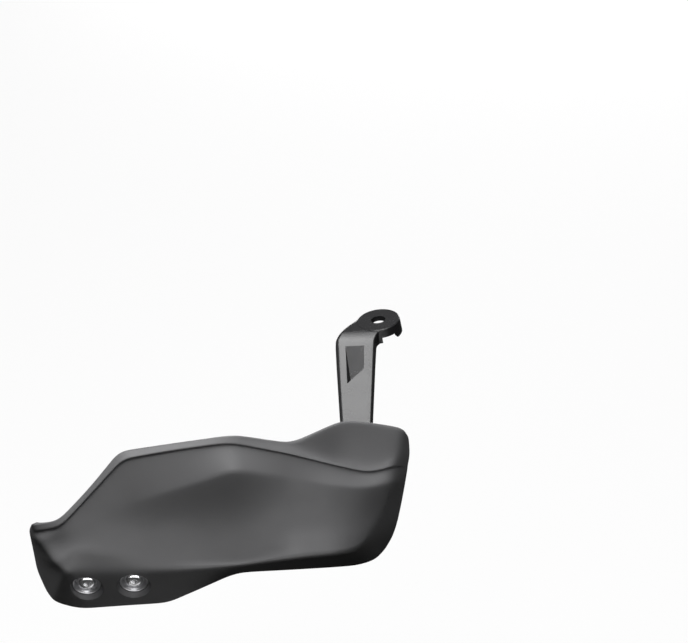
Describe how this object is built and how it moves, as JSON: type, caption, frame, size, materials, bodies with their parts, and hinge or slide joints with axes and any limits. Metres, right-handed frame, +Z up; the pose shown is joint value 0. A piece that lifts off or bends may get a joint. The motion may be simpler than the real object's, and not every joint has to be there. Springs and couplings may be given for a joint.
{
  "type": "motorcycle hand guard",
  "caption": "Right-hand motorcycle hand guard: a scooped plastic shell on a moulded arm with an eye for the mirror bolt.",
  "frame": {"origin": "middle of the mirror bolt hole, at the top face of the eye", "axes": "+Z up along the mirror bolt hole, +X towards the middle of the motorcycle, -Y forward"},
  "size_m": [0.2896, 0.1778, 0.1242],
  "materials": {
    "shell_plastic": "satin charcoal polypropylene with a fine moulded grain",
    "arm_coat": "satin charcoal glass-filled nylon",
    "plated_steel": "zinc plated",
    "screw_steel": "bright zinc plated",
    "insert_brass": "turned"
  },
  "bodies": {
    "root": {"shell": "shell_plastic", "mirror_arm": "arm_coat", "cup_washer_1": "plated_steel", "cup_washer_2": "plated_steel", "outer_screw_1": "screw_steel", "outer_screw_2": "screw_steel", "nut_plate": "plated_steel", "foot_screw_1": "screw_steel", "foot_screw_2": "screw_steel", "foot_washer_1": "plated_steel", "foot_washer_2": "plated_steel", "thread_insert_1": "insert_brass", "thread_insert_2": "insert_brass"}
  },
  "joints": []
}
